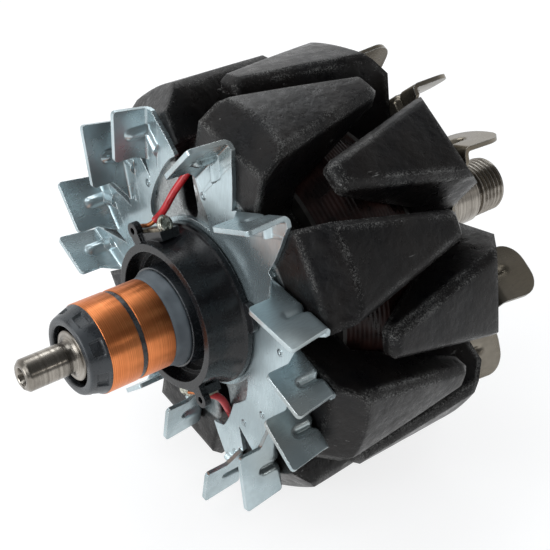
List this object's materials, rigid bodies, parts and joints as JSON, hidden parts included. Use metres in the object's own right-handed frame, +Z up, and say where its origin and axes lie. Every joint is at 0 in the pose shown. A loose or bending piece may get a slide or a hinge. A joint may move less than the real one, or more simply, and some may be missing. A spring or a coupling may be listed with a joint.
{
  "type": "alternator rotor",
  "caption": "Claw-pole alternator rotor with field coil, pressed cooling fans at both ends, copper slip rings and a threaded pulley shaft.",
  "frame": {"origin": "on the shaft's axis where the pulley-end bearing sits against its spacer", "axes": "+X along the shaft towards the pulley end, +Z up, slip rings at the -X end"},
  "size_m": [0.154, 0.1074, 0.1074],
  "materials": {
    "shaft_steel": "turned and ground",
    "claw_black": "black paint over forged steel, worn along the edges",
    "core_steel": "plain turned",
    "bobbin_plastic": "matt moulded",
    "winding_copper": "enamelled and varnished wire",
    "winding_wrap": "varnished wrap",
    "front_fan_zinc": "blue-white zinc plate",
    "drive_fan_zinc": "dull zinc plate",
    "spacer_steel": "turned",
    "carrier_black": "moulded, turned face",
    "ring_copper": "fine turned copper",
    "collar_grey": "matt grey",
    "cup_black": "semi-gloss black moulding",
    "bar_copper": "plain",
    "terminal_tin": "tinned strip",
    "solder": "bright lumpy solder",
    "lead_copper": "enamelled copper wire",
    "sleeve_red": "smooth red sleeve"
  },
  "bodies": {
    "root": {"shaft": "shaft_steel", "front_pole": "claw_black", "drive_pole": "claw_black", "core": "core_steel", "coil_bobbin": "bobbin_plastic", "field_winding": "winding_copper", "winding_wrap": "winding_wrap", "front_fan": "front_fan_zinc", "drive_fan": "drive_fan_zinc", "spacer": "spacer_steel", "ring_carrier": "carrier_black", "slip_ring_1": "ring_copper", "slip_ring_2": "ring_copper", "grey_collar": "collar_grey", "terminal_cup": "cup_black", "ring_bar_1": "bar_copper", "ring_bar_2": "bar_copper", "terminal_1": "terminal_tin", "terminal_2": "terminal_tin", "solder_1": "solder", "solder_2": "solder", "coil_lead_1": "lead_copper", "coil_lead_2": "lead_copper", "lead_sleeve_1": "sleeve_red", "lead_sleeve_2": "sleeve_red"}
  },
  "joints": []
}
